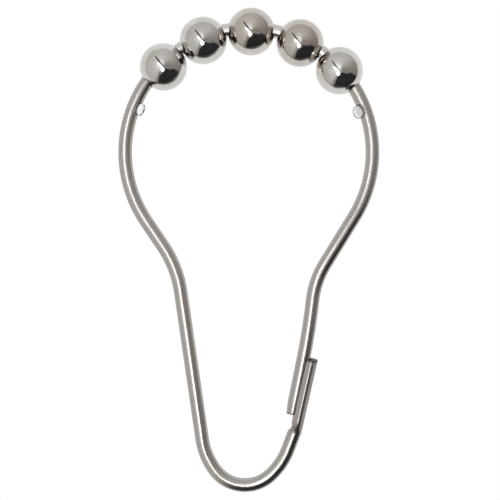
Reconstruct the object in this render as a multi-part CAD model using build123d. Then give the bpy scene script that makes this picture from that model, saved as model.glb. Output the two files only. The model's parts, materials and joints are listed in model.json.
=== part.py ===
from build123d import *
import os
from math import asin, cos, degrees, radians, sin, tan

# A shower curtain hook: one length of stainless wire bent into a pear shape, with five bored
# balls loose on its head so that it rolls along the curtain rod.
# Millimetres. X is to the right, Y runs along the curtain rod, away from the viewer, Z is up.
# The hook hangs in the XZ plane, and the origin is the top of the widest rod that the row of
# balls takes, straight below the top of the head.

os.makedirs("parts", exist_ok=True)

# Wire and balls
wire_dia = 2.12
ball_dia = 7.45
bore_play = 0.52
bore_touch = 0.04
bore_chamfer = 0.12

# Row of balls on the head, as it hangs: the gaps between neighbours, from left to right
first_gap = 0.06
second_gap = 0.21
third_gap = 0.45
fourth_gap = 0.06
row_angle = 88.5
# The last ball is caught on the wire a little further out than the others hang
last_ball_lift = 0.2

# Head of the hook, to the middle of the wire
head_radius = 19.45

# Closed limb on the left, from the head down: shoulder, cheek, waist and flank
closed_shoulder_turn = 34.0
closed_cheek = 4.7
closed_waist_radius = 17.4
closed_flank_lean = 8.3

# Gate limb on the right, from the head down: shoulder, cheek, waist, slight sweep and straight gate
gate_shoulder_turn = 31.7
gate_cheek = 8.6
gate_waist_radius = 14.0
gate_sweep_radius = 110.0
gate_sweep_turn = 5.0
gate_lean = 11.5
gate_end_chamfer = 0.15

# Bottom bend, where the curtain's eyelet hangs: tight in the middle, easier at both ends
bend_radius = 5.85
ease_radius = 10.8
closed_ease_turn = 28.8
clasp_ease_turn = 27.2
clasp_flank = 2.8
clasp_flank_lean = 20.8

# Clasp: the end of the wire pressed flat and grooved, so that the gate springs into it
clasp_lean = 12.7
clasp_length = 10.4
clasp_mouth = 2.6
clasp_arm_lean = 25.0
clasp_back = 0.91
clasp_back_radius = 2.0
clasp_ridge_round = 0.45
clasp_lip_round = 0.06
groove_depth = 0.86
groove_play = 0.06
clasp_neck = 1.2
clasp_set = 0.03
gate_gap = 0.1
gate_end_clear = 1.2

# Ears coined into the inner side of the wire, which keep the balls on the head
ear_length = 2.0
closed_ear_width = 1.15
gate_ear_width = 1.4
ear_thickness = 0.9
ear_edge_round = 0.12
ear_stand = 0.15
punch_draft = 35.0
closed_ear_angle = 158.5
gate_ear_angle = 20.1

# Sizes that follow from the ones above
wire_radius = wire_dia / 2
ball_radius = ball_dia / 2
bore_dia = wire_dia + 2 * bore_play
ball_hang = bore_play - bore_touch
row_radius = head_radius - ball_hang
groove_radius = wire_radius + groove_play

# The widest rod touches every ball on its inner side, and its top is the origin
head_centre = Vector(0, -(row_radius - ball_radius))


def heading(degrees_up):
    """Unit vector in the plane of the hook, by its angle above +X."""
    return Vector(cos(radians(degrees_up)), sin(radians(degrees_up)))


def on_head(angle, radius):
    """Point in the plane of the hook, by its angle and distance about the middle of the head."""
    return head_centre + heading(angle) * radius


def in_space(point):
    """Point of the hook's plane as a point in space."""
    return Vector(point.X, 0, point.Y)


def station(point, direction, sideways):
    """Plane square to the wire, with its x in the hook's plane and its y along the rod."""
    return Plane(origin=in_space(point), x_dir=in_space(sideways), z_dir=in_space(direction))


def limb(side, shoulder_turn, cheek, waist_radius, lean):
    """Half of the head, the cheek and the waist of one limb, from the top down.

    side is +1 on the right and -1 on the left, and lean is the angle off vertical below the waist.
    """
    head = JernArc(on_head(90, head_radius), (side, 0), head_radius, -side * (90 + shoulder_turn))
    cheek_line = Line(head @ 1, head @ 1 + (head % 1) * cheek)
    waist = JernArc(cheek_line @ 1, cheek_line % 1, waist_radius, side * (shoulder_turn - lean))
    return [head, cheek_line, waist]


def bottom_bend(start):
    """Three arcs in a row, from the closed flank round to the flank under the clasp."""
    first = -90 + closed_flank_lean
    last = 90 - clasp_flank_lean
    middle_turn = last - first - closed_ease_turn - clasp_ease_turn
    enter = JernArc(start, heading(first), ease_radius, closed_ease_turn)
    middle = JernArc(enter @ 1, enter % 1, bend_radius, middle_turn)
    leave = JernArc(middle @ 1, middle % 1, ease_radius, clasp_ease_turn)
    return [enter, middle, leave]


def cross(first, second):
    """Cross product of two vectors in the hook's plane."""
    return first.X * second.Y - first.Y * second.X


# Directions of the two straights that close on each other, and of the clasp
flank_down = heading(-90 + closed_flank_lean)
gate_down = heading(-90 - gate_lean)
clasp_flank_up = heading(90 - clasp_flank_lean)
clasp_up = heading(90 - clasp_lean)
clasp_out = heading(-clasp_lean)

closed_limb = limb(-1, closed_shoulder_turn, closed_cheek, closed_waist_radius, closed_flank_lean)
gate_limb = limb(1, gate_shoulder_turn, gate_cheek, gate_waist_radius, gate_lean - gate_sweep_turn)
gate_limb.append(JernArc(gate_limb[-1] @ 1, gate_limb[-1] % 1, gate_sweep_radius, -gate_sweep_turn))
flank_start = closed_limb[-1] @ 1
gate_start = gate_limb[-1] @ 1

# From the end of the closed flank round the bottom and up to the gate's cut end, in one vector
loop = bottom_bend(Vector(0, 0))[-1] @ 1 + clasp_flank_up * clasp_flank
root_to_gate_end = clasp_up * (clasp_neck + gate_end_clear) - clasp_out * (clasp_back + gate_gap - clasp_set)
loop_to_gate_end = loop + root_to_gate_end

# The bottom sits where the closed flank and the gate come as close together as the loop is wide
span = gate_start - flank_start - loop_to_gate_end
flank_length = cross(span, gate_down) / cross(flank_down, gate_down)
gate_length = cross(span, flank_down) / cross(flank_down, gate_down)
flank_end = flank_start + flank_down * flank_length
gate_end = gate_start + gate_down * gate_length
clasp_root = flank_end + loop
clasp_foot = gate_end - clasp_up * gate_end_clear + clasp_out * (wire_radius + gate_gap)


def wire_path():
    """Middle line of the round wire, from the gate's cut end to the root of the clasp."""
    bends = bottom_bend(flank_end)
    runs = [Line(gate_start, gate_end), Line(flank_start, flank_end), Line(bends[-1] @ 1, clasp_root)]
    edges = gate_limb + closed_limb + bends + runs
    return Wire([Plane.XZ.from_local_coords(edge) for edge in edges])


def round_wire():
    """The wire at its full section, with a small chamfer on the gate's cut end."""
    path = wire_path()
    section = station(gate_end, gate_down * -1, heading(-gate_lean)) * Circle(wire_radius)
    wire = sweep(section, path=path)
    cut_face = wire.faces().sort_by_distance(in_space(gate_end))[0]
    return chamfer(cut_face.edges(), gate_end_chamfer)


def clasp_blank():
    """Pressed section before its groove: a wide arc for the back, and arms that lean in to the lips.

    Its x runs from the mouth to the back, with 0 at the bottom of the groove.
    """
    half_mouth = clasp_mouth / 2
    half_end = half_mouth + (groove_depth + clasp_back) * tan(radians(clasp_arm_lean))
    wedge = Polygon((-groove_depth, -half_mouth), (clasp_back, -half_end), (clasp_back, half_end),
                    (-groove_depth, half_mouth), align=None)
    blank = wedge & Pos(clasp_back - clasp_back_radius, 0) * Circle(clasp_back_radius)
    by_width = blank.vertices().sort_by(Axis.Y)
    blank = fillet([by_width[0], by_width[-1]], clasp_ridge_round)
    lip_corners = blank.vertices().group_by(Axis.X)[0]
    return fillet(lip_corners, clasp_lip_round)


def clasp():
    """Flattened and grooved end of the wire, lofted out of the round section."""
    foot = station(clasp_foot, clasp_up, clasp_out)
    blank = clasp_blank()
    root = station(clasp_root, clasp_flank_up, heading(-clasp_flank_lean)) * Circle(wire_radius)
    neck = loft([root.face(), (foot * blank).face()])
    channel = extrude(foot * blank, clasp_length)
    groove = Pos(-groove_radius, 0) * Cylinder(
        groove_radius, 2 * clasp_length, align=(Align.CENTER, Align.CENTER, Align.MIN))
    run_out = Pos(-groove_radius, 0) * Sphere(groove_radius)
    return neck + channel - foot * (groove + run_out)


def ear(angle, width):
    """Oval slab that stands out of the wire, and the two pockets that the punches leave beside it.

    A punch is an oval with drafted sides, so the wall of its pocket leans away from the slab.
    """
    middle = on_head(angle, head_radius - wire_radius - ear_stand)
    face_on = Plane(origin=in_space(middle), x_dir=in_space(heading(angle)), z_dir=(0, -1, 0))
    slab = extrude(Ellipse(width / 2, ear_length / 2), ear_thickness / 2, both=True)
    slab = fillet(slab.edges(), ear_edge_round)
    depth = wire_radius
    spread = depth * tan(radians(punch_draft))
    tip = Pos(0, 0, ear_thickness / 2) * Ellipse(width / 2, ear_length / 2)
    root = Pos(0, 0, ear_thickness / 2 + depth) * Ellipse(width / 2 + spread, ear_length / 2 + spread)
    punch = loft([tip.face(), root.face()])
    return face_on * slab, [face_on * punch, face_on * punch.mirror(Plane.XY)]


def hook_wire():
    """The whole wire as one formed piece."""
    body = round_wire() + clasp()
    for angle, width in ((closed_ear_angle, closed_ear_width), (gate_ear_angle, gate_ear_width)):
        slab, punches = ear(angle, width)
        body = body - punches + slab
    return body


def roller_ball():
    """One bored ball about its own middle, with the bore along Z."""
    ball = Sphere(ball_radius) - Cylinder(bore_dia / 2, 2 * ball_dia)
    bore_edges = ball.edges().filter_by(GeomType.CIRCLE).group_by(SortBy.RADIUS)[0]
    return chamfer(bore_edges, bore_chamfer)


def ball_angles():
    """Angles of the balls about the middle of the head, from left to right."""
    gaps = (first_gap, second_gap, third_gap, fourth_gap)
    steps = [2 * degrees(asin((ball_dia + gap) / 2 / row_radius)) for gap in gaps]
    first = row_angle + sum(steps) / 2
    return [first - sum(steps[:place]) for place in range(len(steps) + 1)]


def ball_places():
    """Middle of each ball and the direction of its bore, from left to right."""
    angles = ball_angles()
    radii = [row_radius] * (len(angles) - 1) + [row_radius + last_ball_lift]
    return [(on_head(angle, radius), heading(angle - 90)) for angle, radius in zip(angles, radii)]


wire = hook_wire()
export_step(wire, "parts/hook_wire.step")
print(f"hook_wire: flank {flank_length:.2f}, gate {gate_length:.2f}, box {wire.bounding_box()}")

for number, (centre, along_wire) in enumerate(ball_places(), start=1):
    outward = Vector(-along_wire.Y, along_wire.X)
    ball = station(centre, along_wire, outward) * roller_ball()
    export_step(ball, f"parts/roller_ball_{number}.step")
    print(f"roller_ball_{number}: centre {centre.X:.4f}, 0, {centre.Y:.4f},"
          f" axis {along_wire.X:.5f}, 0, {along_wire.Y:.5f}")
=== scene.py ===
# %% [markdown]
# # A roller hook for a shower curtain
# The real thing is one length of stainless wire, bent into a pear shape, with five bored steel
# balls loose on its head. The wire's own end is pressed into a small open channel, the clasp, and
# the other end, the gate, springs into it. Two small ears, coined out of the wire, keep the balls
# on the head.
#
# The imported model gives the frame: where each piece is and what it moves with. In this lesson the
# pieces are made again as fine surfaces with numpy, because polished metal shows every facet, and
# drawn wire needs a map that runs along it.

import json
from math import asin, atan2, cos, degrees, radians, sin, tan

import bpy
import numpy as np
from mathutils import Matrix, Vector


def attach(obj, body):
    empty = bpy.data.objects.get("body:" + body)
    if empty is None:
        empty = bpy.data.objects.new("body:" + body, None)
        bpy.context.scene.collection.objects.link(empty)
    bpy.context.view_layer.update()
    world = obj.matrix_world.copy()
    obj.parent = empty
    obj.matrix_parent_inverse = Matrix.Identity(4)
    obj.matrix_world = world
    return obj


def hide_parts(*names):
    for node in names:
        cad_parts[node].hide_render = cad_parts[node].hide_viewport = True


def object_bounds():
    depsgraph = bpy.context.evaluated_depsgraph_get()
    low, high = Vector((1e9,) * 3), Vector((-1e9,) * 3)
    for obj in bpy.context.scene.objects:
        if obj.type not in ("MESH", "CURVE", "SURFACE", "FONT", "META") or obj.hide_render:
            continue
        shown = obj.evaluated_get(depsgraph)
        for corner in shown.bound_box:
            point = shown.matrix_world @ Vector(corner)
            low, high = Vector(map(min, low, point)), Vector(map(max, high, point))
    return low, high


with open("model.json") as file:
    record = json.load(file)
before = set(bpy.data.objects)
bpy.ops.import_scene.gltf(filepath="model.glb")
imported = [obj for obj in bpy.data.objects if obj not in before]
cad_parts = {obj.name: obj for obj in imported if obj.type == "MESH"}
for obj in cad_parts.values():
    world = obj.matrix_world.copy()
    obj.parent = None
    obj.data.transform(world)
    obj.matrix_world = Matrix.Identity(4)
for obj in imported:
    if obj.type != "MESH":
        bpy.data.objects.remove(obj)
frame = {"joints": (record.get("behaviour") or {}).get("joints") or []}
cad_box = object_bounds()

# %% [markdown]
# ## Sizes
# Blender works in metres and a wire product is thought of in millimetres, so one value turns the
# one into the other. The wire and the balls are the two bought-in materials of the product, and
# everything else is how the wire is bent. Sizes could be measured on the imported model, but written
# down they say how the hook is made, and the box of the imported model is printed at the end.
#
# A ball hangs on the wire by the play in its bore, all but a hair, so the row of balls has a
# slightly smaller radius than the wire. The origin is the top of the widest rod that the row takes.

# %% Sizes of wire and balls
mm = 0.001
wire_radius = 1.06 * mm
ball_radius = 3.725 * mm
bore_play = 0.52 * mm
bore_touch = 0.04 * mm
head_radius = 19.45 * mm
row_radius = head_radius - (bore_play - bore_touch)
head_centre = -1j * (row_radius - ball_radius)
print(f"middle of the head at z = {head_centre.imag / mm:.3f} mm")

# %% [markdown]
# ## The line of the wire
# A wire bender feeds wire and turns it: a straight, an arc, a straight. A curve with handles comes
# near that, but they are set by eye and its bends are no true arcs. So the line is written as it is
# bent, as a list of runs, each with a length and a turn. Complex numbers suit a flat path well: x
# is the real part, z the imaginary part, and a heading is exp(i angle).

# %% Runs of the line
def arc(radius, turn_degrees):
    """One arc as (length, turn in radians); a positive turn bends to the left."""
    turn = radians(turn_degrees)
    return radius * abs(turn), turn


def straight(length):
    """One straight as (length, turn in radians)."""
    return length, 0.0


gate_lean = 11.5
gate_sweep = 5.0
gate_sweep_radius = 110.0 * mm
gate_waist_radius = 14.0 * mm
gate_cheek = 8.6 * mm
gate_shoulder = 31.7
closed_shoulder = 34.0
closed_cheek = 4.7 * mm
closed_waist_radius = 17.4 * mm
flank_lean = 8.3
ease_radius = 10.8 * mm
bend_radius = 5.85 * mm
closed_ease = 28.8
clasp_ease = 27.2
clasp_flank = 2.8 * mm
clasp_flank_lean = 20.8
clasp_lean = 12.7
bottom_turn = 180 - clasp_flank_lean - flank_lean - closed_ease - clasp_ease

gate_side = [arc(gate_sweep_radius, gate_sweep),
             arc(gate_waist_radius, gate_lean - gate_sweep - gate_shoulder),
             straight(gate_cheek), arc(head_radius, 90 + gate_shoulder)]
closed_side = [arc(head_radius, 90 + closed_shoulder), straight(closed_cheek),
               arc(closed_waist_radius, flank_lean - closed_shoulder)]
bottom = [arc(ease_radius, closed_ease), arc(bend_radius, bottom_turn),
          arc(ease_radius, clasp_ease), straight(clasp_flank)]
print(f"the bottom turns {closed_ease} + {bottom_turn:.1f} + {clasp_ease} degrees")

# %% Walking the line
def walk(runs, start, heading_degrees, at):
    """Points and headings at the distances in the array at, along runs of constant curvature.

    Along one run the heading is t0 exp(i k s), with k = turn / length, and the point is
    p0 + t0 (exp(i k s) - 1) / (i k), or p0 + t0 s on a straight.
    """
    lengths = np.array([run[0] for run in runs])
    bend = np.array([run[1] for run in runs]) / lengths
    starts = np.concatenate([[0.0], np.cumsum(lengths)])
    turned = np.concatenate([[0.0], np.cumsum(bend * lengths)])
    headings = np.exp(1j * (radians(heading_degrees) + turned))
    curved = np.where(bend == 0, 1.0, bend)
    chords = np.where(bend == 0, lengths, (np.exp(1j * curved * lengths) - 1) / (1j * curved))
    corners = start + np.concatenate([[0.0], np.cumsum(headings[:-1] * chords)])
    run = np.clip(np.searchsorted(starts, at, side="right") - 1, 0, len(runs) - 1)
    s = at - starts[run]
    moved = np.where(bend[run] == 0, s, (np.exp(1j * curved[run] * s) - 1) / (1j * curved[run]))
    return corners[run] + headings[run] * moved, headings[run] * np.exp(1j * bend[run] * s)


def end_of(runs, start, heading_degrees):
    """Last point of a list of runs."""
    return walk(runs, start, heading_degrees, np.array([sum(run[0] for run in runs)]))[0][0]


# %% [markdown]
# ## Closing the loop
# The head hangs on the rod, and both limbs come down from it: the closed one runs on round the
# bottom and up into the clasp, where the gate has to meet it. So the lengths of the two straights,
# flank and gate, aren't free. They could be tried until the two ends meet, but any other change
# would open the loop again. Here they follow from where the clasp has to stand beside the gate, as
# two equations in two unknowns.

# %% Lengths of flank and gate
clasp_neck = 1.2 * mm
clasp_back = 0.91 * mm
clasp_set = 0.03 * mm
gate_gap = 0.1 * mm
gate_end_clear = 1.5 * mm


def heading(degrees_up):
    """Unit step in a direction, as a complex number."""
    return np.exp(1j * radians(degrees_up))


def cross(first, second):
    """Cross product of two flat vectors."""
    return (first.conjugate() * second).imag


top_of_head = head_centre + 1j * head_radius
flank_start = end_of(closed_side, top_of_head, 180)
gate_start = end_of([(length, -turn) for length, turn in reversed(gate_side)], top_of_head, 0)
flank_down = heading(-90 + flank_lean)
gate_down = heading(-90 - gate_lean)
clasp_up = heading(90 - clasp_lean)
clasp_out = heading(-clasp_lean)
loop = end_of(bottom, 0j, -90 + flank_lean)
root_to_gate_end = (clasp_up * (clasp_neck + gate_end_clear)
                    - clasp_out * (clasp_back + gate_gap - clasp_set))
span = gate_start - flank_start - loop - root_to_gate_end
flank_length = cross(span, gate_down) / cross(flank_down, gate_down)
gate_length = cross(span, flank_down) / cross(flank_down, gate_down)
gate_end = gate_start + gate_down * gate_length
clasp_foot = gate_end - clasp_up * gate_end_clear + clasp_out * (wire_radius + gate_gap)
print(f"flank {flank_length / mm:.2f} mm, gate {gate_length / mm:.2f} mm")

# %% The whole line
wire_runs = [straight(gate_length)] + gate_side + closed_side + [straight(flank_length)] + bottom
wire_length = sum(run[0] for run in wire_runs)
head_start = gate_length + sum(run[0] for run in gate_side[:-1])


def on_head(angle):
    """Distance along the line of a place on the head, by its angle above +X in degrees."""
    return head_start + head_radius * radians(angle + gate_shoulder)


print(f"round wire {wire_length / mm:.1f} mm long, its top at {on_head(90) / mm:.1f} mm")

# %% [markdown]
# ## Surfaces from grids
# A curve with a round bevel would give a plain wire in one step. This wire changes its section at
# the ears and at the clasp, and its finish needs a map that runs along it, so the skin is written
# out as a grid of points, rows along it and columns round it. The last column joins the first, so
# the skin is closed all round, and the map, with u round the wire and v along it in millimetres,
# comes from the same two numbers. Quads come from one array of indices. A cap isn't on the grid, so
# its v is a mark that no row has, and a material can tell it by that.

# %% Helper that skins a grid
cap_mark = -5.0


def skin(name, points, along, caps=(), closed_rows=False, sharp_angle=40):
    """Mesh object from points[row, column], closed round the columns, with v = along[row]."""
    rows, columns = points.shape[:2]
    index = np.arange(rows * columns).reshape(rows, columns)
    next_column = np.roll(index, -1, axis=1)
    upper = np.roll(index, -1, axis=0) if closed_rows else index[1:]
    upper_next = np.roll(upper, -1, axis=1)
    count = rows if closed_rows else rows - 1
    quads = np.stack([index[:count], next_column[:count], upper_next, upper], axis=-1).reshape(-1, 4)
    mesh = bpy.data.meshes.new(name)
    mesh.from_pydata(points.reshape(-1, 3).tolist(), [], quads.tolist() + [list(cap) for cap in caps])
    u = np.arange(columns + 1) / columns
    v = np.append(along, 2 * along[-1] - along[-2]) / mm
    corner_u = np.stack([u[:-1], u[1:], u[1:], u[:-1]], axis=-1)
    corner_v = np.stack([v[:count], v[:count], v[1:count + 1], v[1:count + 1]], axis=-1)
    uv = np.empty((count, columns, 4, 2))
    uv[..., 0] = corner_u[None]
    uv[..., 1] = corner_v[:, None]
    flat = np.full(2 * len(mesh.loops), cap_mark)
    flat[:uv.size] = uv.ravel()
    mesh.uv_layers.new(name="along").data.foreach_set("uv", flat)
    mesh.polygons.foreach_set("use_smooth", np.ones(len(mesh.polygons), bool))
    mesh.set_sharp_from_angle(angle=radians(sharp_angle))
    mesh.validate()
    piece = bpy.data.objects.new(name, mesh)
    bpy.context.scene.collection.objects.link(piece)
    print(f"{name}: {len(quads)} quads, {len(caps)} cap faces")
    return piece


# %% [markdown]
# ## The drawn wire and its ears
# The section is a circle of radius R. Beside each end of the row of balls the wire is pinched
# between two small oval punches with drafted sides. They leave an oval ear, thinner than the wire,
# partly inside it and partly standing out on the inner side, and a pocket with a sloping wall on
# each face. A cutter could make that too, but it would break the rows, and the die lines with them.
#
# The pinched section is still star-shaped about the middle of the wire, so it is written as a
# radius at each angle a from the inner side. A ray at that angle runs in the wire until it meets a
# punch, and the ear adds what lies between the punches. At a height y the punch is an oval whose
# half sizes have grown by s = (y - h) tan(draft), with h half the ear's thickness, so a point x, y,
# t lies in it where ((x - c) / (A + s))^2 + (t / (B + s))^2 is under 1. The ear ends where its face
# and its oval end meet, with the corner rounded by a p-norm of the two.

# %% Section of the wire and of the ears
columns = 128
quarter = columns // 4
around = np.linspace(0, 2 * np.pi, columns, endpoint=False)
ear_half_length = 1.0 * mm
ear_half_thickness = 0.45 * mm
ear_stand = 0.15 * mm
punch_draft = tan(radians(35.0))
corner_sharpness = 14
halvings = 20
least_share = 1e-6
# Each ear's angle about the middle of the head, and half its width
ears = ((20.1, 0.7 * mm), (158.5, 0.575 * mm))
ear_middle = wire_radius + ear_stand
punch_spread = (wire_radius - ear_half_thickness) * punch_draft


def in_punch(radius, offset, half_width):
    """Where a point at a radius on each ray lies in a punch, at an offset along the ear."""
    height = radius * np.abs(np.sin(around))
    spread = np.maximum(height - ear_half_thickness, 0) * punch_draft
    across = (radius * np.cos(around) - ear_middle) / (half_width + spread)
    lengthwise = offset / (ear_half_length + spread)
    return (height > ear_half_thickness) & (across ** 2 + lengthwise ** 2 < 1)


def ear_section(offset, half_width):
    """Radii at each angle round the wire, for rows at the offsets (a column) from an ear's middle.

    The ray's first point in a punch is found by halving the stretch where it must lie.
    """
    aside = np.maximum(np.abs(np.sin(around)), least_share)[None]
    ahead = np.maximum(np.cos(around), least_share)[None]
    face_radius = np.minimum(ear_half_thickness / aside, wire_radius)
    low = np.broadcast_to(face_radius, (len(offset), columns))
    high = np.full_like(low, wire_radius)
    cut = in_punch(high, offset, half_width)
    for _ in range(halvings):
        middle = (low + high) / 2
        inside = in_punch(middle, offset, half_width)
        high = np.where(inside, middle, high)
        low = np.where(inside, low, middle)
    pinched = np.where(cut, high, wire_radius)
    reach = half_width * np.sqrt(np.clip(1 - (offset / ear_half_length) ** 2, 0, 1))
    face_share = aside / ear_half_thickness
    end_share = ahead / (ear_middle + reach)
    corner = face_share ** corner_sharpness + end_share ** corner_sharpness
    tongue = corner ** (-1 / corner_sharpness)
    stands = (reach > ear_stand) & (np.cos(around)[None] > 0)
    return np.where(stands, np.maximum(pinched, tongue), pinched)


def wire_section(distance):
    """Radii at each angle round the wire, for one row at each distance along the line."""
    radii = np.full((len(distance), columns), wire_radius)
    for angle, half_width in ears:
        # The ear lies at the wire's inner edge, where one degree is shorter than at the middle line
        offset = (distance - on_head(angle)) * (head_radius - ear_middle) / head_radius
        near = np.abs(offset) < ear_half_length + punch_spread
        radii[near] = ear_section(offset[near][:, None], half_width)
    return radii


# %% Rows along the wire
turn_per_row = 1.5
rows_per_run = 6
ear_rows = 61
pocket_rows = 15
pocket_margin = 0.05 * mm


def rows_along():
    """Distances of the rows: evenly round each arc, close together at the ears, ends included."""
    marks = np.concatenate([[0.0], np.cumsum([run[0] for run in wire_runs])])
    counts = [int(abs(degrees(run[1])) / turn_per_row) + rows_per_run for run in wire_runs]
    pieces = [np.linspace(marks[i], marks[i + 1], count) for i, count in enumerate(counts)]
    stretch = head_radius / (head_radius - ear_middle)
    pocket_end = ear_half_length + punch_spread + pocket_margin
    for angle, _ in ears:
        middle = on_head(angle)
        pieces.append(middle - ear_half_length * stretch * np.cos(np.linspace(0, np.pi, ear_rows)))
        beyond = np.linspace(ear_half_length, pocket_end, pocket_rows)[1:]
        pieces.append(middle + stretch * np.concatenate([-beyond[::-1], beyond]))
    return np.unique(np.round(np.concatenate(pieces), 8))


rows = rows_along()
print(f"{len(rows)} rows along the round wire")

# %% [markdown]
# ## The clasp
# The end of the wire is pressed in a die into a small channel, so that the gate lies in it. Its
# section has a wide arc for a back, two rounded ridges, arms that lean in to thin lips, and a round
# groove between them. It could be a second object with its own bevel, but on the real hook the wire
# flows into it, so its rows go on in the same grid. Going round the section from lip to lip is
# again a list of straights and arcs, so it is walked like the line of the wire. The wide back, of
# radius B, and an arm that leans by L are joined by a ridge of radius r. The middle of the ridge
# lies B - r from the middle of the back and r inside the arm's face, which gives the angle where
# the back ends.
#
# The inner face is written with the same number of points, so that the end face closes with a
# ladder of quads. In the neck the outline blends from the circle of the wire to the pressed
# section, and the groove runs out in the shape of the punch's ball end.

# %% Outline of the clasp
clasp_mouth = 2.6 * mm
arm_lean = 25.0
back_radius = 2.0 * mm
ridge_round = 0.45 * mm
lip_round = 0.06 * mm
groove_depth = 0.86 * mm
groove_radius = wire_radius + 0.06 * mm
points_per_run = (3, 12, 9, 16, 9, 12, 3)


def pressed_outline():
    """Outer outline of the pressed section from lip to lip, as out + i depth, and its lip's place.

    It is walked as lip, arm, ridge, back, ridge, arm, lip.
    """
    lean = radians(arm_lean)
    back_middle = clasp_back - back_radius
    to_ridge = back_radius - ridge_round
    arm_face = clasp_mouth / 2 * cos(lean) + groove_depth * sin(lean)
    back_end = lean + asin((arm_face - ridge_round + back_middle * sin(lean)) / to_ridge)
    ridge_middle = back_middle + to_ridge * np.exp(1j * back_end)
    lip_cut = lip_round * tan((np.pi / 2 - lean) / 2)
    mouth_corner = complex(-groove_depth, clasp_mouth / 2)
    arm = ((ridge_middle - mouth_corner) * np.exp(-1j * lean)).real - lip_cut
    lip_arc = arc(lip_round, 90 - arm_lean)
    ridge_arc = arc(ridge_round, 90 + arm_lean - degrees(back_end))
    half = [lip_arc, straight(arm), ridge_arc]
    chain = half + [arc(back_radius, 2 * degrees(back_end))] + half[::-1]
    marks = np.concatenate([[0.0], np.cumsum([run[0] for run in chain])])
    at = [np.linspace(marks[i], marks[i + 1], points_per_run[i], endpoint=False)
          for i in range(len(chain))]
    at = np.append(np.concatenate(at), marks[-1])
    lip = clasp_mouth / 2 - lip_cut
    outline = walk(chain, complex(-groove_depth, -lip), -90, at)[0]
    return outline, lip


def clasp_outline():
    """Whole section, columns as on the round wire, as out + i depth.

    The first and last quarter turns run straight across the inner face, from lip to lip.
    """
    outer, lip = pressed_outline()
    inner = -groove_depth + 1j * lip * np.arange(quarter) / quarter
    return np.concatenate([inner, outer.conjugate(), inner[:0:-1].conjugate()])


section = clasp_outline()
print(f"clasp {np.ptp(section.imag) / mm:.2f} mm wide, groove {2 * groove_radius / mm:.2f} mm")

# %% Rows of neck and clasp
clasp_length = 10.6 * mm
neck_rows = 40
channel_rows = 14
end_bevel = 0.15 * mm
rim_share = 0.96
cut_down_near = tan(radians(3.0))
cut_up_outside = tan(radians(5.0))


def clasp_rows(root, root_heading):
    """Flat positions (out + i up, from the foot of the clasp) and depths of the clasp's rows.

    In the neck a row is (1 - t) circle + t section, and above it the section stands alone. Then the
    punch is pressed in: nothing is left inside the ball-ended groove, whose skin lies at
    out = sqrt(r r - y y - h h) - r, with h counted below the foot only. The end was sheared off a
    little askew, lower on the near side and higher on the outer one, and its rim is worn.
    """
    circle = root + 1j * root_heading * wire_radius * np.cos(around)
    circle = (circle - clasp_foot) / clasp_out
    circle_depth = wire_radius * np.sin(around)
    share = np.linspace(0, 1, neck_rows + 1)[1:, None]
    place = (1 - share) * circle[None] + share * section.real[None]
    depth = (1 - share) * circle_depth[None] + share * section.imag[None]
    up = np.linspace(0, clasp_length - end_bevel, channel_rows + 1)[1:]
    up = np.append(up, clasp_length)[:, None]
    askew = cut_down_near * section.imag + cut_up_outside * section.real
    up = up * (1 + askew / clasp_length)[None]
    inset = np.where(np.arange(len(up)) < len(up) - 1, 1.0, rim_share)[:, None]
    place = np.concatenate([place, section.real[None] * inset + 1j * up])
    depth = np.concatenate([depth, section.imag[None] * inset])
    below = np.minimum(place.imag, 0)
    hollow = groove_radius ** 2 - depth ** 2 - below ** 2
    punch = np.sqrt(np.clip(hollow, 0, None)) - groove_radius
    inner = np.cos(around)[None] > 0
    pressed = np.where(inner & (hollow > 0), np.maximum(place.real, punch), place.real)
    return pressed + 1j * place.imag, depth


# %% [markdown]
# ## One skin for the whole hook
# The rows of the round wire and those of the clasp are stacked in one grid, so the hook is one
# closed skin as it is one piece of wire. Two objects pushed into each other would show a crease
# where they meet, and an edge of one would stay hidden in the other. The gate's cut end gets a
# small bevel and a flat face. The clasp's end is closed by a ladder: column j of the inner face on
# each side of the middle is joined to the column that lies opposite on the outer face, and a
# triangle closes it at each lip.

# %% Grid of the hook wire
line, directions = walk(wire_runs, gate_end, 90 - gate_lean, rows)
radii = wire_section(rows)
radii[0] = wire_radius - end_bevel
clasp_flat, clasp_depth = clasp_rows(line[-1], directions[-1])
clasp_run = np.linspace(0, clasp_neck + clasp_length, len(clasp_flat) + 1)[1:]
flat = line[:, None] + 1j * directions[:, None] * radii * np.cos(around)[None]
flat = np.concatenate([flat, clasp_foot + clasp_out * clasp_flat])
depth = np.concatenate([radii * np.sin(around)[None], clasp_depth])
along = np.concatenate([rows, rows[-1] + clasp_run])
points = np.stack([flat.real, depth, flat.imag], axis=-1)
print(f"grid of {points.shape[0]} rows and {points.shape[1]} columns")

# %% Hook wire
def clasp_end(first):
    """Faces across the clasp's end, whose row of points starts at the index first."""
    ladder = [(first + quarter + j, first + (quarter - j) % columns,
               first + (quarter - j - 1) % columns, first + quarter + j + 1)
              for j in range(1, 2 * quarter - 1)]
    lips = [(first + quarter, first + quarter - 1, first + quarter + 1),
            (first + 3 * quarter - 1, first + 3 * quarter + 1, first + 3 * quarter)]
    return ladder + lips


cut_face = tuple(range(columns))[::-1]
hook = skin("hook", points, along, caps=[cut_face] + clasp_end((len(points) - 1) * columns))
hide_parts("hook_wire")
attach(hook, "hook")

# %% [markdown]
# ## The balls
# A ball is a profile carried round its bore: the sphere from mouth to mouth, a small chamfer, a
# short lip and the bore. Boring a ready-made sphere with a cutter would leave thin triangles at the
# mouths, and a mirror shows each of them. The bore has to be wide in the middle, because the wire
# in it is bent, but at the mouths it can be narrow, and there the real balls close round the wire
# with hardly a gap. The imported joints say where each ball's middle is and which way its bore runs,
# so nothing is placed by hand.

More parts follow.
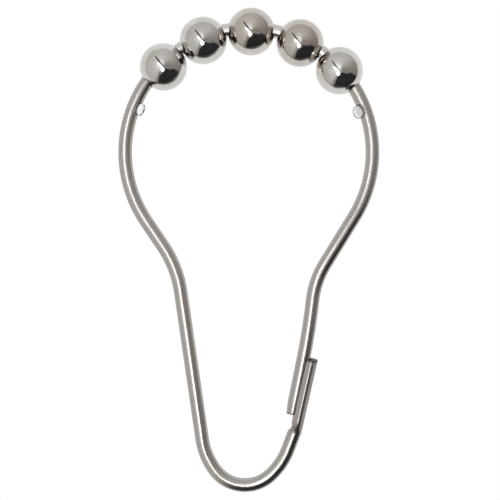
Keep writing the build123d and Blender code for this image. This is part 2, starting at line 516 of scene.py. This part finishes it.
# %% Balls
bore_radius = wire_radius + bore_play
mouth_radius = 1.33 * mm
mouth_chamfer = 0.05 * mm
lip_depth = 0.22 * mm
ball_columns = 96
sphere_points = 73
bore_points = 9


def ball_profile():
    """Closed profile of a bored ball, as distance from the bore's axis + i height along it.

    It runs up the sphere, down the upper lip and its 45 degree shoulder, through the bore and out
    over the lower lip.
    """
    rim = mouth_radius + mouth_chamfer
    reach = atan2(np.sqrt(ball_radius ** 2 - rim ** 2), rim)
    sphere = ball_radius * np.exp(1j * np.linspace(-reach, reach, sphere_points))
    lip_top = np.sqrt(ball_radius ** 2 - mouth_radius ** 2) - mouth_chamfer
    lip = mouth_radius + 1j * np.array([lip_top, lip_top - lip_depth])
    bore_top = lip_top - lip_depth - (bore_radius - mouth_radius)
    bore = bore_radius + 1j * bore_top * np.linspace(1, -1, bore_points)
    return np.concatenate([sphere, lip, bore, lip[::-1].conjugate()])


def ball(name, joint):
    """Bored ball about a joint's place, with its bore along the joint's axis."""
    axis = np.array(joint["axis"], float)
    axis /= np.linalg.norm(axis)
    aside = np.array([0.0, 1.0, 0.0])
    across = np.cross(aside, axis)
    turn = np.linspace(0, 2 * np.pi, ball_columns, endpoint=False)[::-1]
    spoke = np.cos(turn)[:, None] * aside + np.sin(turn)[:, None] * across
    profile = ball_profile()
    grid = (np.array(joint["pos_m"]) + profile.real[:, None, None] * spoke[None]
            + profile.imag[:, None, None] * axis)
    steps = np.abs(np.diff(profile, prepend=profile[-1]))
    return skin(name, grid, np.cumsum(steps), closed_rows=True, sharp_angle=30)


balls = []
for joint in frame["joints"]:
    number = joint["child"].split("_")[1]
    piece = ball(f"ball_{number}", joint)
    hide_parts(f"roller_ball_{number}")
    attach(piece, joint["child"])
    balls.append(piece)

# %% [markdown]
# ## Nodes by short calls
# Materials are node trees. They could be put together by hand in the Shader Editor, but written out
# they are made anew each time, and a value is found by its name. Short helpers keep them readable:
# one makes a node and sets its values, and the others name what is done often, such as a product, a
# smooth step or a mixed colour.

# %% Helpers for nodes and sums
def add(tree, kind, inputs=(), **settings):
    """New node of a kind, with settings as properties and inputs as (socket, value or socket)."""
    node = tree.nodes.new(kind)
    for key, value in settings.items():
        setattr(node, key, value)
    for socket, value in dict(inputs).items():
        if isinstance(value, bpy.types.NodeSocket):
            tree.links.new(value, node.inputs[socket])
        else:
            node.inputs[socket].default_value = value
    return node


def maths(tree, operation, first, second=0.0, third=0.0):
    """Output of one Math node."""
    return add(tree, "ShaderNodeMath", {0: first, 1: second, 2: third}, operation=operation).outputs[0]


def times(tree, first, second):
    """Product of two values."""
    return maths(tree, "MULTIPLY", first, second)


def rest_of(tree, share):
    """1 minus a share."""
    return maths(tree, "SUBTRACT", 1.0, share)


def vector(tree, operation, first, second, output=0):
    """Output of one Vector Math node, which works on colours too."""
    return add(tree, "ShaderNodeVectorMath", {0: first, 1: second}, operation=operation).outputs[output]


# %% Helpers for steps, colours and noise
# Noise keeps near its middle, and these two values hold most of it
noise_middle = (0.35, 0.65)


def spread(tree, value, limits, results):
    """Value from one pair of limits, spread evenly over the pair of results."""
    return add(tree, "ShaderNodeMapRange", {
        "Value": value, "From Min": limits[0], "From Max": limits[1],
        "To Min": results[0], "To Max": results[1]}).outputs[0]


def fade(tree, value, limits):
    """0 up to the first limit, 1 beyond the second and smooth between, whichever is the larger."""
    return add(tree, "ShaderNodeMapRange", {
        "Value": value, "From Min": limits[0], "From Max": limits[1]},
        interpolation_type="SMOOTHSTEP", clamp=True).outputs[0]


def between(tree, value, first, second):
    """1 between two fades and 0 outside them, each given by its limits."""
    return times(tree, fade(tree, value, first), rest_of(tree, fade(tree, value, second)))


def blend(tree, share, first, second):
    """Colour between two colours or sockets."""
    node = add(tree, "ShaderNodeMix", {0: share}, data_type="RGBA")
    for socket, value in ((6, first), (7, second)):
        if isinstance(value, bpy.types.NodeSocket):
            tree.links.new(value, node.inputs[socket])
        else:
            node.inputs[socket].default_value = (*value, 1.0)
    return node.outputs[2]


def noise(tree, position, scale, detail=2.0, roughness=0.5):
    """Noise value at a scale, on a position."""
    return add(tree, "ShaderNodeTexNoise", {"Vector": position, "Scale": scale, "Detail": detail,
                                           "Roughness": roughness}).outputs["Fac"]


def empty_material(name):
    """New material and its emptied node tree."""
    material = bpy.data.materials.new(name)
    material.use_nodes = True
    material.node_tree.nodes.clear()
    return material, material.node_tree


# %% [markdown]
# ## Drawn wire
# Stainless wire is pulled through a die, which leaves fine lines along it. A picture of brushed
# metal would repeat itself and meet in a seam. So the lines are noise that is stretched along v,
# and round the wire it is read on a circle, cos u and sin u, where it has no seam. The lines vary
# the roughness and stand out a few thousandths of a millimetre, and a slow drift of tint stands for
# the lubricant and handling film.
#
# Four places look different, and a mask picks out each of them. The pressed clasp is duller. The
# coined faces of the ears are matt and even, and their pale tint is painted light. Round each ear a
# dark rim is painted shade in the pocket where the punch cut in. The sheared ends are dark and rough,
# with a darker rim. Under the row of balls the wire is painted paler: painted light where it shows
# between the balls.

# %% Masks of the worked places
# Shares of an ear's oval
ear_face_edge = (0.86, 0.97)
ear_rim_edge = (1.1, 1.3)
# Millimetres along the map, from the gate's end, from the clasp's end, and from the neck
gate_rim = (0.05, 0.3)
clasp_rim = (-0.35, -0.15)
neck_fade = (-0.5, 1.5)
# The row of balls, by its angles about the middle of the head, and how softly it ends
row_angles = (47.0, 130.0)
row_fade = 1.0


def shifted(limits, start):
    """Limits counted from a start."""
    return tuple(start + limit for limit in limits)


def ear_mask(tree, place):
    """Distance from the middle of the nearer ear, as a share of its oval (1 on its outline)."""
    shares = []
    for angle, half_width in ears:
        spoke = heading(angle)
        middle = head_centre + (head_radius - ear_middle) * spoke
        moved = vector(tree, "SUBTRACT", place, (middle.real, 0.0, middle.imag))
        sizes = ((spoke / half_width), (1j * spoke / ear_half_length))
        parts = [vector(tree, "DOT_PRODUCT", moved, (size.real, 0.0, size.imag), "Value")
                 for size in sizes]
        across = times(tree, parts[0], parts[0])
        shares.append(maths(tree, "SQRT", maths(tree, "MULTIPLY_ADD", parts[1], parts[1], across)))
    return maths(tree, "MINIMUM", *shares)


def end_mask(tree, v):
    """1 on the cut faces and at the very ends of the wire, 0 a little further in."""
    tip = (wire_length + clasp_neck + clasp_length) / mm
    near_tip = fade(tree, v, shifted(clasp_rim, tip))
    return maths(tree, "MAXIMUM", rest_of(tree, fade(tree, v, gate_rim)), near_tip)


def row_mask(tree, v):
    """1 where the balls hang on the wire."""
    start, end = (on_head(angle) / mm for angle in row_angles)
    return between(tree, v, shifted((-row_fade, 0.0), start), shifted((0.0, row_fade), end))


# %% Colour of the wire
drawn_tints = ((0.464, 0.446, 0.415), (0.468, 0.44, 0.418))
die_line_tint = (0.408, 0.387, 0.368)
# Painted light: paler wire where it shows between the balls
row_light_tint = (0.68, 0.665, 0.64)
# Painted shade: the dark rim round each ear, where the pocket lies in shade
pressed_tint = (0.357, 0.33, 0.31)
ear_rim_shade_tint = (0.24, 0.235, 0.235)
# Painted light: the ears' coined faces are tinted paler than the wire
ear_face_light_tint = (0.62, 0.62, 0.62)
# A darker rim round each sheared end
end_rim_tint = (0.10, 0.095, 0.09)
cut_face_tints = ((0.15, 0.147, 0.145), (0.26, 0.255, 0.25))
cut_face_scale = 4000.0
cut_face_range = (0.3, 0.7)
die_line_range = (0.15, 0.6)


def wire_colour(tree, place, v, lines, drift, masks):
    """Colour of the drawn wire, with each worked place, and the painted light and shade, laid over it.
    """
    tint = blend(tree, fade(tree, drift, noise_middle), *drawn_tints)
    colour = blend(tree, fade(tree, lines, die_line_range), die_line_tint, tint)
    # Painted light: the wire under the row of balls is tinted paler
    colour = blend(tree, row_mask(tree, v), colour, row_light_tint)
    colour = blend(tree, masks["pressed"], colour, pressed_tint)
    # Painted shade on the ears' rims, then painted light on their faces
    colour = blend(tree, masks["ear rim shade"], colour, ear_rim_shade_tint)
    colour = blend(tree, masks["ear face"], colour, ear_face_light_tint)
    speck = noise(tree, place, cut_face_scale)
    face_tint = blend(tree, fade(tree, speck, cut_face_range), *cut_face_tints)
    on_cap = rest_of(tree, fade(tree, v, shifted((1, 2), cap_mark)))
    return blend(tree, masks["sheared"], colour, blend(tree, on_cap, end_rim_tint, face_tint))


# %% Material of the wire
line_scale = 9.0
line_stretch = 0.04
line_height = 0.004 * mm
line_bump = 0.03
line_rough_range = (0.3, 0.7)
drift_scale = 1.3
drift_stretch = 0.35
drawn_rough = (0.21, 0.31)
worked_rough = {"pressed": 0.06, "ear face": 0.20, "sheared": 0.25}
edge_grey = (0.5, 0.5, 0.5, 1.0)


def drawn_steel():
    """Satin drawn stainless steel, read on the map u round the wire, v along it in millimetres.

    A metal goes white at a glancing angle. A drawn surface scatters there, so the grey specular
    tint keeps its edges darker.
    """
    material, tree = empty_material("drawn_steel")
    uv = add(tree, "ShaderNodeUVMap", uv_map="along")
    part = add(tree, "ShaderNodeSeparateXYZ", {0: uv.outputs[0]})
    place = add(tree, "ShaderNodeTexCoord").outputs["Object"]
    turn = times(tree, part.outputs[0], 2 * np.pi)
    v = part.outputs[1]
    ring = {0: maths(tree, "COSINE", turn), 1: maths(tree, "SINE", turn)}
    drawn, slow = [add(tree, "ShaderNodeCombineXYZ", {**ring, 2: times(tree, v, stretch)}).outputs[0]
                   for stretch in (line_stretch, drift_stretch)]
    lines = noise(tree, drawn, line_scale, detail=3.0, roughness=0.6)
    drift = noise(tree, slow, drift_scale, detail=3.0)
    ear = ear_mask(tree, place)
    # The ear masks lay a painted pale face and a painted dark rim on each ear
    masks = {"pressed": fade(tree, v, shifted(neck_fade, wire_length / mm)),
             "ear face": rest_of(tree, fade(tree, ear, ear_face_edge)),
             "ear rim shade": between(tree, ear, ear_face_edge, ear_rim_edge),
             "sheared": end_mask(tree, v)}
    colour = wire_colour(tree, place, v, lines, drift, masks)
    roughness = spread(tree, lines, line_rough_range, drawn_rough)
    for name, extra in worked_rough.items():
        roughness = maths(tree, "MULTIPLY_ADD", masks[name], extra, roughness)
    still_drawn = rest_of(tree, maths(tree, "MAXIMUM", masks["pressed"], masks["ear face"]))
    bump = add(tree, "ShaderNodeBump", {"Strength": line_bump, "Distance": line_height,
                                        "Height": times(tree, lines, still_drawn)})
    shader = add(tree, "ShaderNodeBsdfPrincipled", {
        "Base Color": colour, "Metallic": 1.0, "Roughness": roughness, "Normal": bump.outputs[0],
        "Specular Tint": edge_grey})
    add(tree, "ShaderNodeOutputMaterial", {0: shader.outputs[0]})
    print(f"{material.name}: {len(tree.nodes)} nodes")
    return material


hook.data.materials.append(drawn_steel())

# %% [markdown]
# ## Polished balls
# The balls are ground and tumbled until they are mirrors. A metal with no roughness at all would do
# for that, but nothing real is so clean. What is left on the balls is a very fine grain, and here
# and there a hairline from rolling on the rod. A hairline follows a contour of slow noise, where it
# passes through its middle value, and a second noise breaks it into short pieces. The middle ball
# and its right neighbour are painted a little darker and browner, which is painted shade for the
# darker reflections they show. It comes and goes along the row.

# %% Material of the balls
ball_tints = ((0.565, 0.545, 0.515), (0.63, 0.61, 0.59))
grain_levels = ((0.94, 0.94, 0.94), (1.03, 1.03, 1.03))
hairline_tint = (0.36, 0.35, 0.34)
hairline_share = 0.45
hairline_rough = 0.12
hairline_edge = (0.002, 0.012)
hairline_break = (0.5, 0.6)
# Painted shade: a darker, browner tint over the middle ball and its right neighbour
painted_shade_tint = (0.91, 0.87, 0.84)
painted_shade_starts = (-5 * mm, -2 * mm)
painted_shade_ends = (10 * mm, 13 * mm)
grain_scale = 2600.0
cloud_scale = 350.0
swirl_scale = 420.0
break_scale = 700.0
grain_range = (0.3, 0.7)
grain_height = 0.002 * mm
grain_bump = 0.1
polished_rough = (0.05, 0.10)
white = (1.0, 1.0, 1.0)


def polished_steel():
    """Mirror-polished stainless steel with a little grain, a few hairlines and painted shade on two
    balls.
    """
    material, tree = empty_material("polished_steel")
    place = add(tree, "ShaderNodeTexCoord").outputs["Object"]
    grain = noise(tree, place, grain_scale, detail=3.0, roughness=0.6)
    cloud = noise(tree, place, cloud_scale)
    swirl = maths(tree, "SUBTRACT", noise(tree, place, swirl_scale, detail=1.0), 0.5)
    contour = rest_of(tree, fade(tree, maths(tree, "ABSOLUTE", swirl), hairline_edge))
    hairline = times(tree, contour, fade(tree, noise(tree, place, break_scale), hairline_break))
    row = add(tree, "ShaderNodeSeparateXYZ", {0: place}).outputs[0]
    # Painted shade on the middle ball and its right neighbour, by place along x
    painted_shade = blend(tree, between(tree, row, painted_shade_starts, painted_shade_ends), white, painted_shade_tint)
    dulling = blend(tree, fade(tree, grain, grain_range), *grain_levels)
    colour = blend(tree, fade(tree, cloud, noise_middle), *ball_tints)
    colour = vector(tree, "MULTIPLY", colour, dulling)
    colour = blend(tree, times(tree, hairline, hairline_share), colour, hairline_tint)
    colour = vector(tree, "MULTIPLY", colour, painted_shade)
    roughness = spread(tree, cloud, noise_middle, polished_rough)
    roughness = maths(tree, "MULTIPLY_ADD", hairline, hairline_rough, roughness)
    bump = add(tree, "ShaderNodeBump", {"Strength": grain_bump, "Distance": grain_height,
                                        "Height": grain})
    shader = add(tree, "ShaderNodeBsdfPrincipled", {
        "Base Color": colour, "Metallic": 1.0, "Roughness": roughness, "Normal": bump.outputs[0]})
    add(tree, "ShaderNodeOutputMaterial", {0: shader.outputs[0]})
    print(f"{material.name}: {len(tree.nodes)} nodes")
    return material


ball_finish = polished_steel()
for piece in balls:
    piece.data.materials.append(ball_finish)

# %% [markdown]
# ## The studio
# Polished metal has no look of its own: it shows the room. A picture of a real room could light it
# as well, but a room that is written piece by piece can be set up for what the hook reflects of it:
# - a white sheet behind the hook, leaning a little, gives the balls and the wire their pale rims,
# - warm grey walls on the side of the lens give the body of the metal, paler above and on the left,
#   and they glow softly beside the lens,
# - a black flag low on the right gives the dark edges,
# - a window beside the lens and a long strip light above it draw the bright line along the wire,
# - the strip's dark boom runs up to the left from the flag's corner.
#
# The world is written by direction. The part along y tells the white sheet from the walls, and the
# clock angle about y, 0 on the right and 90 above, tells the pale side from the dark one. The
# camera itself sees plain white, by Light Path, so the background takes no extra light.

# %% World
wall_dark = (0.36, 0.335, 0.315)
wall_pale = (0.80, 0.80, 0.80)
wall_warmth = (0.89, 0.875, 0.835)
wall_flag = (0.032, 0.033, 0.034)
sheet_white = (1.0, 1.01, 1.02)
sheet_lean = 0.1
sheet_edge = (0.03, 0.22)
glow_tint = (0.9, 0.9, 0.95)
glow_way = (-0.15, -0.98, 0.02)
glow_fall = 14.0
glow_side = (0.2, -0.05)
warmth_depth = (-0.75, -0.1)
flag_depth = (-0.75, -0.6)


def clock_edge(start, end):
    """Limits of a fade over the clock angle, from degrees."""
    return radians(start), radians(end)


pale_above = clock_edge(-15, 85)
pale_left = clock_edge(-130, -110)
flag_left = clock_edge(-113, -107)
flag_above = clock_edge(-22, -10)


def studio_world():
    """White sheet behind, warm grey walls and a black flag in front, and a glow beside the lens."""
    world = bpy.data.worlds.new("studio")
    bpy.context.scene.world = world
    world.use_nodes = True
    tree = world.node_tree
    tree.nodes.clear()
    way = add(tree, "ShaderNodeTexCoord").outputs["Generated"]
    part = add(tree, "ShaderNodeSeparateXYZ", {0: way})
    right, away, up = part.outputs[0], part.outputs[1], part.outputs[2]
    clock = maths(tree, "ARCTAN2", up, right)
    left = rest_of(tree, fade(tree, clock, pale_left))
    pale = maths(tree, "ADD", fade(tree, clock, pale_above), left)
    warmth = blend(tree, fade(tree, away, warmth_depth), white, wall_warmth)
    wall = vector(tree, "MULTIPLY", blend(tree, pale, wall_dark, wall_pale), warmth)
    turned = rest_of(tree, vector(tree, "DOT_PRODUCT", way, glow_way, "Value"))
    near_lens = maths(tree, "EXPONENT", times(tree, turned, -glow_fall))
    glow = times(tree, near_lens, fade(tree, right, glow_side))
    glow = add(tree, "ShaderNodeVectorMath", {0: glow_tint, "Scale": glow}, operation="SCALE")
    wall = vector(tree, "ADD", wall, glow.outputs[0])
    low_right = between(tree, clock, flag_left, flag_above)
    wall = blend(tree, times(tree, low_right, fade(tree, away, flag_depth)), wall, wall_flag)
    behind = maths(tree, "MULTIPLY_ADD", up, sheet_lean, away)
    room = blend(tree, fade(tree, behind, sheet_edge), wall, sheet_white)
    seen = add(tree, "ShaderNodeLightPath").outputs["Is Camera Ray"]
    colour = blend(tree, seen, room, white)
    background = add(tree, "ShaderNodeBackground", {"Color": colour, "Strength": 1.0})
    add(tree, "ShaderNodeOutputWorld", {0: background.outputs[0]})
    print(f"{world.name}: {len(tree.nodes)} nodes")


studio_world()

# %% [markdown]
# ## Beside the lens
# What stands close to the lens is laid out on the plane of the lens, so far to the right and so far
# up, as shares of the lens's distance to the hook. A place there is a complex number again. The
# flag and the boom are flat cards that only reflections see. They are near the hook, unlike the
# world, so each ball shows them a little differently. The world's dark quarter goes on behind the
# flag. The window and the strip are area lights.

# %% Places beside the lens
lens_distance = 0.180
lens_right = 0.192 * mm
lens_drop = 15.38 * mm
lens = np.array([lens_right, -lens_distance, head_centre.imag - lens_drop])


def beside_lens(place):
    """Point in the plane of the lens, from right + i up as shares of the lens's distance."""
    return lens + lens_distance * np.array([place.real, 0.0, place.imag])


# %% Cards
flag_corner = 0.07 - 0.10j
flag_reach = 2.3
flag_top = -14
flag_side = -113
flag_tint = (0.036, 0.037, 0.040)
boom_turn = 127
boom_reach = 1.9
boom_half_width = 0.065
boom_tint = (0.03, 0.03, 0.032)


def card(name, places, tint):
    """Flat card in the plane of the lens, evenly lit, which only reflections see."""
    mesh = bpy.data.meshes.new(name)
    mesh.from_pydata([tuple(beside_lens(place)) for place in places], [], [tuple(range(len(places)))])
    thing = bpy.data.objects.new(name, mesh)
    bpy.context.scene.collection.objects.link(thing)
    material, tree = empty_material(name)
    even = add(tree, "ShaderNodeEmission", {"Color": (*tint, 1.0)})
    add(tree, "ShaderNodeOutputMaterial", {0: even.outputs[0]})
    mesh.materials.append(material)
    thing.visible_camera = False
    thing.visible_diffuse = False
    thing.visible_shadow = False


upper = flag_corner + flag_reach * heading(flag_top)
lower = flag_corner + flag_reach * heading(flag_side)
card("black_flag", [flag_corner, upper, complex(upper.real, lower.imag), lower], flag_tint)
boom_end = flag_corner + boom_reach * heading(boom_turn)
across = -1j * boom_half_width * heading(boom_turn)
card("boom", [flag_corner + across, boom_end + across, boom_end - across, flag_corner - across],
     boom_tint)
print(f"black flag {flag_reach * lens_distance:.2f} m long, boom {boom_reach * lens_distance:.2f} m")

# %% Lamps
def softbox(name, size, place, turn, energy):
    """Oval area light in the plane of the lens, its size and place as shares of the distance."""
    lamp = bpy.data.lights.new(name, "AREA")
    lamp.shape = "ELLIPSE"
    lamp.size = size[0] * lens_distance
    lamp.size_y = size[1] * lens_distance
    lamp.energy = energy
    thing = bpy.data.objects.new(name, lamp)
    thing.location = beside_lens(place)
    thing.rotation_euler = (radians(90), radians(turn), 0)
    bpy.context.scene.collection.objects.link(thing)
    print(f"{name}: {lamp.size / mm:.0f} x {lamp.size_y / mm:.0f} mm")


softbox("window", size=(0.34, 0.46), place=-0.06 - 0.25j, turn=0, energy=0.075)
softbox("strip", size=(0.70, 0.15), place=-0.25 + 0.14j, turn=37, energy=0.042)

# %% [markdown]
# ## The floor
# A plain pale disc below the hook carries its soft shadow when it is seen from above. A shadow
# catcher is meant for a picture that is laid over another one. The disc is paint where the shadow
# falls and fades to plain white further out, for the camera only, so that it meets the white
# background without an edge. Reflections don't see it, because the world already holds all that the
# metal shows.

# %% Floor
floor_radius = 0.6
floor_drop = 0.03
floor_corners = 96
floor_paint = (0.86, 0.86, 0.86, 1.0)
white_distances = (0.05, 0.12)
white_shares = (0.55, 1.0)


def floor_material():
    """Pale paint near the hook, blended into plain white further out, for the camera only."""
    material, tree = empty_material("pale_floor")
    paint = add(tree, "ShaderNodeBsdfDiffuse", {"Color": floor_paint})
    bright = add(tree, "ShaderNodeEmission", {"Color": (*white, 1.0)})
    place = add(tree, "ShaderNodeTexCoord").outputs["Object"]
    level = vector(tree, "MULTIPLY", place, (1.0, 1.0, 0.0))
    reach = vector(tree, "LENGTH", level, (0.0, 0.0, 0.0), "Value")
    lift = spread(tree, reach, white_distances, white_shares)
    share = times(tree, add(tree, "ShaderNodeLightPath").outputs["Is Camera Ray"], lift)
    mixed = add(tree, "ShaderNodeMixShader", {0: share, 1: paint.outputs[0], 2: bright.outputs[0]})
    add(tree, "ShaderNodeOutputMaterial", {0: mixed.outputs[0]})
    return material


ring = np.linspace(0, 2 * np.pi, floor_corners, endpoint=False)
floor_height = np.full(floor_corners, cad_box[0][2] - floor_drop)
disc = np.stack([floor_radius * np.cos(ring), floor_radius * np.sin(ring), floor_height], axis=-1)
floor_mesh = bpy.data.meshes.new("floor")
floor_mesh.from_pydata(disc.tolist(), [], [tuple(range(floor_corners))])
floor_mesh.materials.append(floor_material())
floor = bpy.data.objects.new("floor", floor_mesh)
bpy.context.scene.collection.objects.link(floor)
floor.visible_glossy = False

# %% [markdown]
# ## The camera
# The picture was taken straight on and from close by: the clasp's end face shows as a thin lens,
# seen from above. A long lens or an orthographic camera would hardly show that face. The frame is
# 78.65 mm wide at the hook, 180 mm from the lens, and the focal length follows from the two.

# %% Camera
picture_width = 78.65 * mm
sensor_width = 36.0
camera_data = bpy.data.cameras.new("camera")
camera_data.sensor_width = sensor_width
camera_data.lens = sensor_width * lens_distance / picture_width
camera_data.clip_start = 0.005
camera = bpy.data.objects.new("camera", camera_data)
camera.location = lens
camera.rotation_euler = (radians(90), 0, 0)
bpy.context.scene.collection.objects.link(camera)
bpy.context.scene.camera = camera
bpy.context.scene.view_settings.view_transform = "Standard"
print(f"lens {camera_data.lens:.1f} mm")

# %% [markdown]
# ## Sizes for the record
# A surface that is made again can drift away from the imported solid, and a picture hardly shows it.
# So the box of the imported model is printed.

# %% Box of the imported model
print("CAD box", [round(v / mm, 2) for c in cad_box for v in c])
